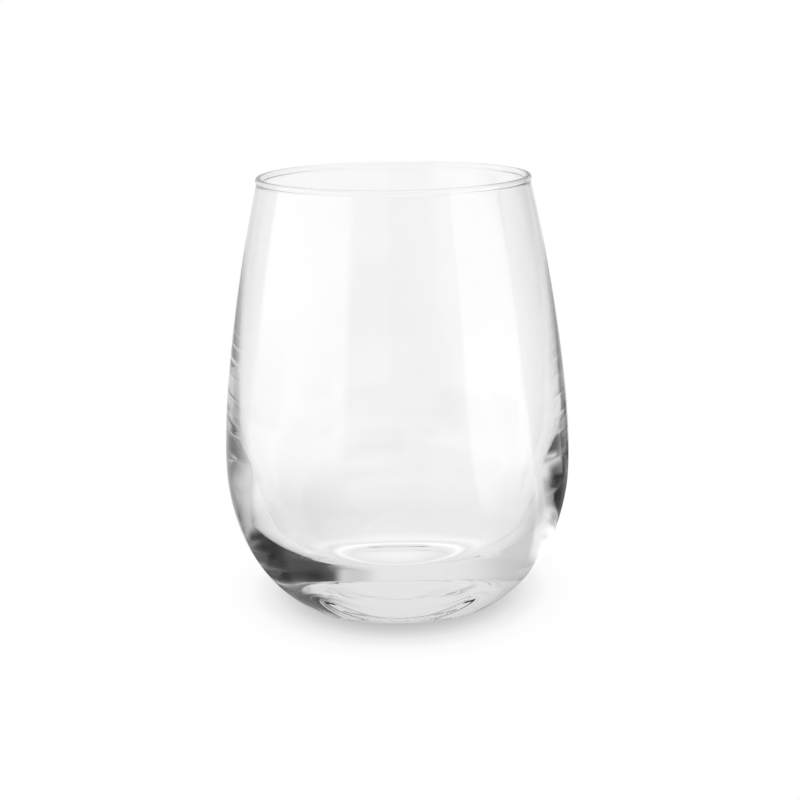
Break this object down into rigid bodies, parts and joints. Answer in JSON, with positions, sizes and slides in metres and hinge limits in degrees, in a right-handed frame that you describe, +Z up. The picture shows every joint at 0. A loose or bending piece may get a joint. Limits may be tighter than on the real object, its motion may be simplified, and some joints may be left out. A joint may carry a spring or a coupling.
{
  "type": "stemless wine glass",
  "caption": "Tapered stemless wine glass in clear glass: rounded belly, thick base on a narrow standing ring, and a fire-polished lip.",
  "frame": {"origin": "centre of the standing ring, in the plane of the table", "axes": "+Z up along the glass's axis of revolution, out of the mouth; X and Y are free, because the glass is round"},
  "size_m": [0.09, 0.09, 0.115],
  "materials": {
    "clear_glass": "clear polished soda-lime glass, moulded and fire-polished at the lip"
  },
  "bodies": {
    "root": {"stemless_glass": "clear_glass"}
  },
  "joints": []
}
